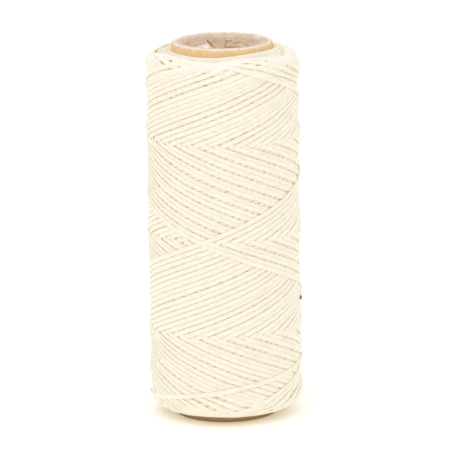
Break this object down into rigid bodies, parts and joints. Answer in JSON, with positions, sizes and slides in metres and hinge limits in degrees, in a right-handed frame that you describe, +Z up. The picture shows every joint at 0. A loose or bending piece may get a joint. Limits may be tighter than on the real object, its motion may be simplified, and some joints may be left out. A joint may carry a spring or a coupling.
{
  "type": "waxed thread spool",
  "caption": "Cross-wound spool of flat cream waxed thread on a spiral kraft paper tube with a burnished top end and an open bore.",
  "frame": {"origin": "middle of the tube's foot, on the tube's axis", "axes": "+Z up the tube's axis, from the plain foot to the burnished end; +X and +Y are arbitrary, with -Y the front"},
  "size_m": [0.0466, 0.0466, 0.116],
  "materials": {
    "waxed_thread": "satin",
    "kraft_paper": "matte",
    "chipboard": "matte",
    "liner_paper": "matte"
  },
  "bodies": {
    "root": {"inner_liner_ply": "liner_paper", "chipboard_ply_5": "chipboard", "chipboard_ply_4": "chipboard", "chipboard_ply_3": "chipboard", "chipboard_ply_2": "chipboard", "chipboard_ply_1": "chipboard", "outer_kraft_ply": "kraft_paper", "thread_inner_end": "waxed_thread", "thread_layer_1": "waxed_thread", "thread_layer_2": "waxed_thread", "thread_layer_3": "waxed_thread", "thread_layer_4": "waxed_thread", "thread_layer_5": "waxed_thread", "thread_layer_6": "waxed_thread", "thread_layer_7": "waxed_thread", "thread_layer_8": "waxed_thread", "thread_layer_9": "waxed_thread", "thread_outer_end": "waxed_thread"}
  },
  "joints": []
}
